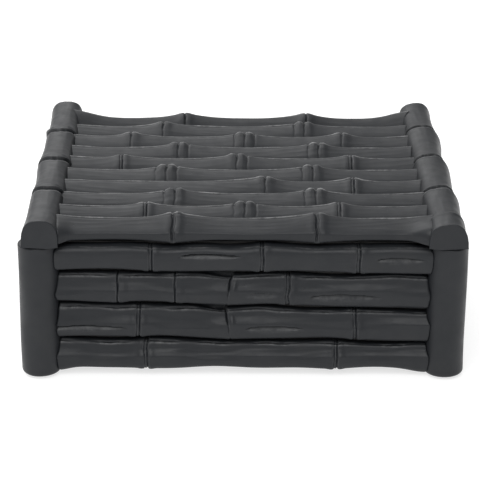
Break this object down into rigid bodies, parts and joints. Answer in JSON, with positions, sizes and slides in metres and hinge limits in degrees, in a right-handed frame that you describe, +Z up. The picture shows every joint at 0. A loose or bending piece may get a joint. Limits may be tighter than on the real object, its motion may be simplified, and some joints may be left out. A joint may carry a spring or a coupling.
{
  "type": "lidded decorative box",
  "caption": "Rectangular decorative box clad in faux-bamboo sticks, with round corner posts, a lift-off lid and a charcoal lacquer finish.",
  "frame": {"origin": "on the table, under the middle of the box", "axes": "+X to the box's right, along its longest side; +Y from the front to the back; +Z up"},
  "size_m": [0.254, 0.216, 0.0982],
  "materials": {
    "charcoal_finish": "satin charcoal lacquer over carved wood",
    "carcass_black": "flat black stain",
    "felt_black": "short wool felt"
  },
  "bodies": {
    "base": {"bottom_panel": "carcass_black", "wall_front": "carcass_black", "wall_back": "carcass_black", "wall_left": "carcass_black", "wall_right": "carcass_black", "floor_liner": "felt_black", "corner_post_front_left": "charcoal_finish", "corner_post_front_right": "charcoal_finish", "corner_post_back_left": "charcoal_finish", "corner_post_back_right": "charcoal_finish", "foot_pad_front_left": "felt_black", "foot_pad_front_right": "felt_black", "foot_pad_back_left": "felt_black", "foot_pad_back_right": "felt_black", "front_stick_1": "charcoal_finish", "front_stick_2": "charcoal_finish", "front_stick_3": "charcoal_finish", "front_stick_4": "charcoal_finish", "back_stick_1": "charcoal_finish", "back_stick_2": "charcoal_finish", "back_stick_3": "charcoal_finish", "back_stick_4": "charcoal_finish", "left_stick_1": "charcoal_finish", "left_stick_2": "charcoal_finish", "left_stick_3": "charcoal_finish", "left_stick_4": "charcoal_finish", "right_stick_1": "charcoal_finish", "right_stick_2": "charcoal_finish", "right_stick_3": "charcoal_finish", "right_stick_4": "charcoal_finish"},
    "lid": {"lid_panel": "carcass_black", "lid_left_log": "charcoal_finish", "lid_right_log": "charcoal_finish", "lid_front_log": "charcoal_finish", "lid_back_log": "charcoal_finish", "lid_stick_1": "charcoal_finish", "lid_stick_2": "charcoal_finish", "lid_stick_3": "charcoal_finish", "lid_stick_4": "charcoal_finish", "lid_stick_5": "charcoal_finish", "lid_stick_6": "charcoal_finish", "lid_stick_7": "charcoal_finish", "lid_stick_8": "charcoal_finish", "lid_lip_front": "carcass_black", "lid_lip_back": "carcass_black", "lid_lip_left": "carcass_black", "lid_lip_right": "carcass_black"}
  },
  "joints": [
    {"name": "lid_lift", "type": "slide", "parent": "base", "child": "lid", "axis": [0, 0, 1], "range_m": [0, 0.12]}
  ]
}
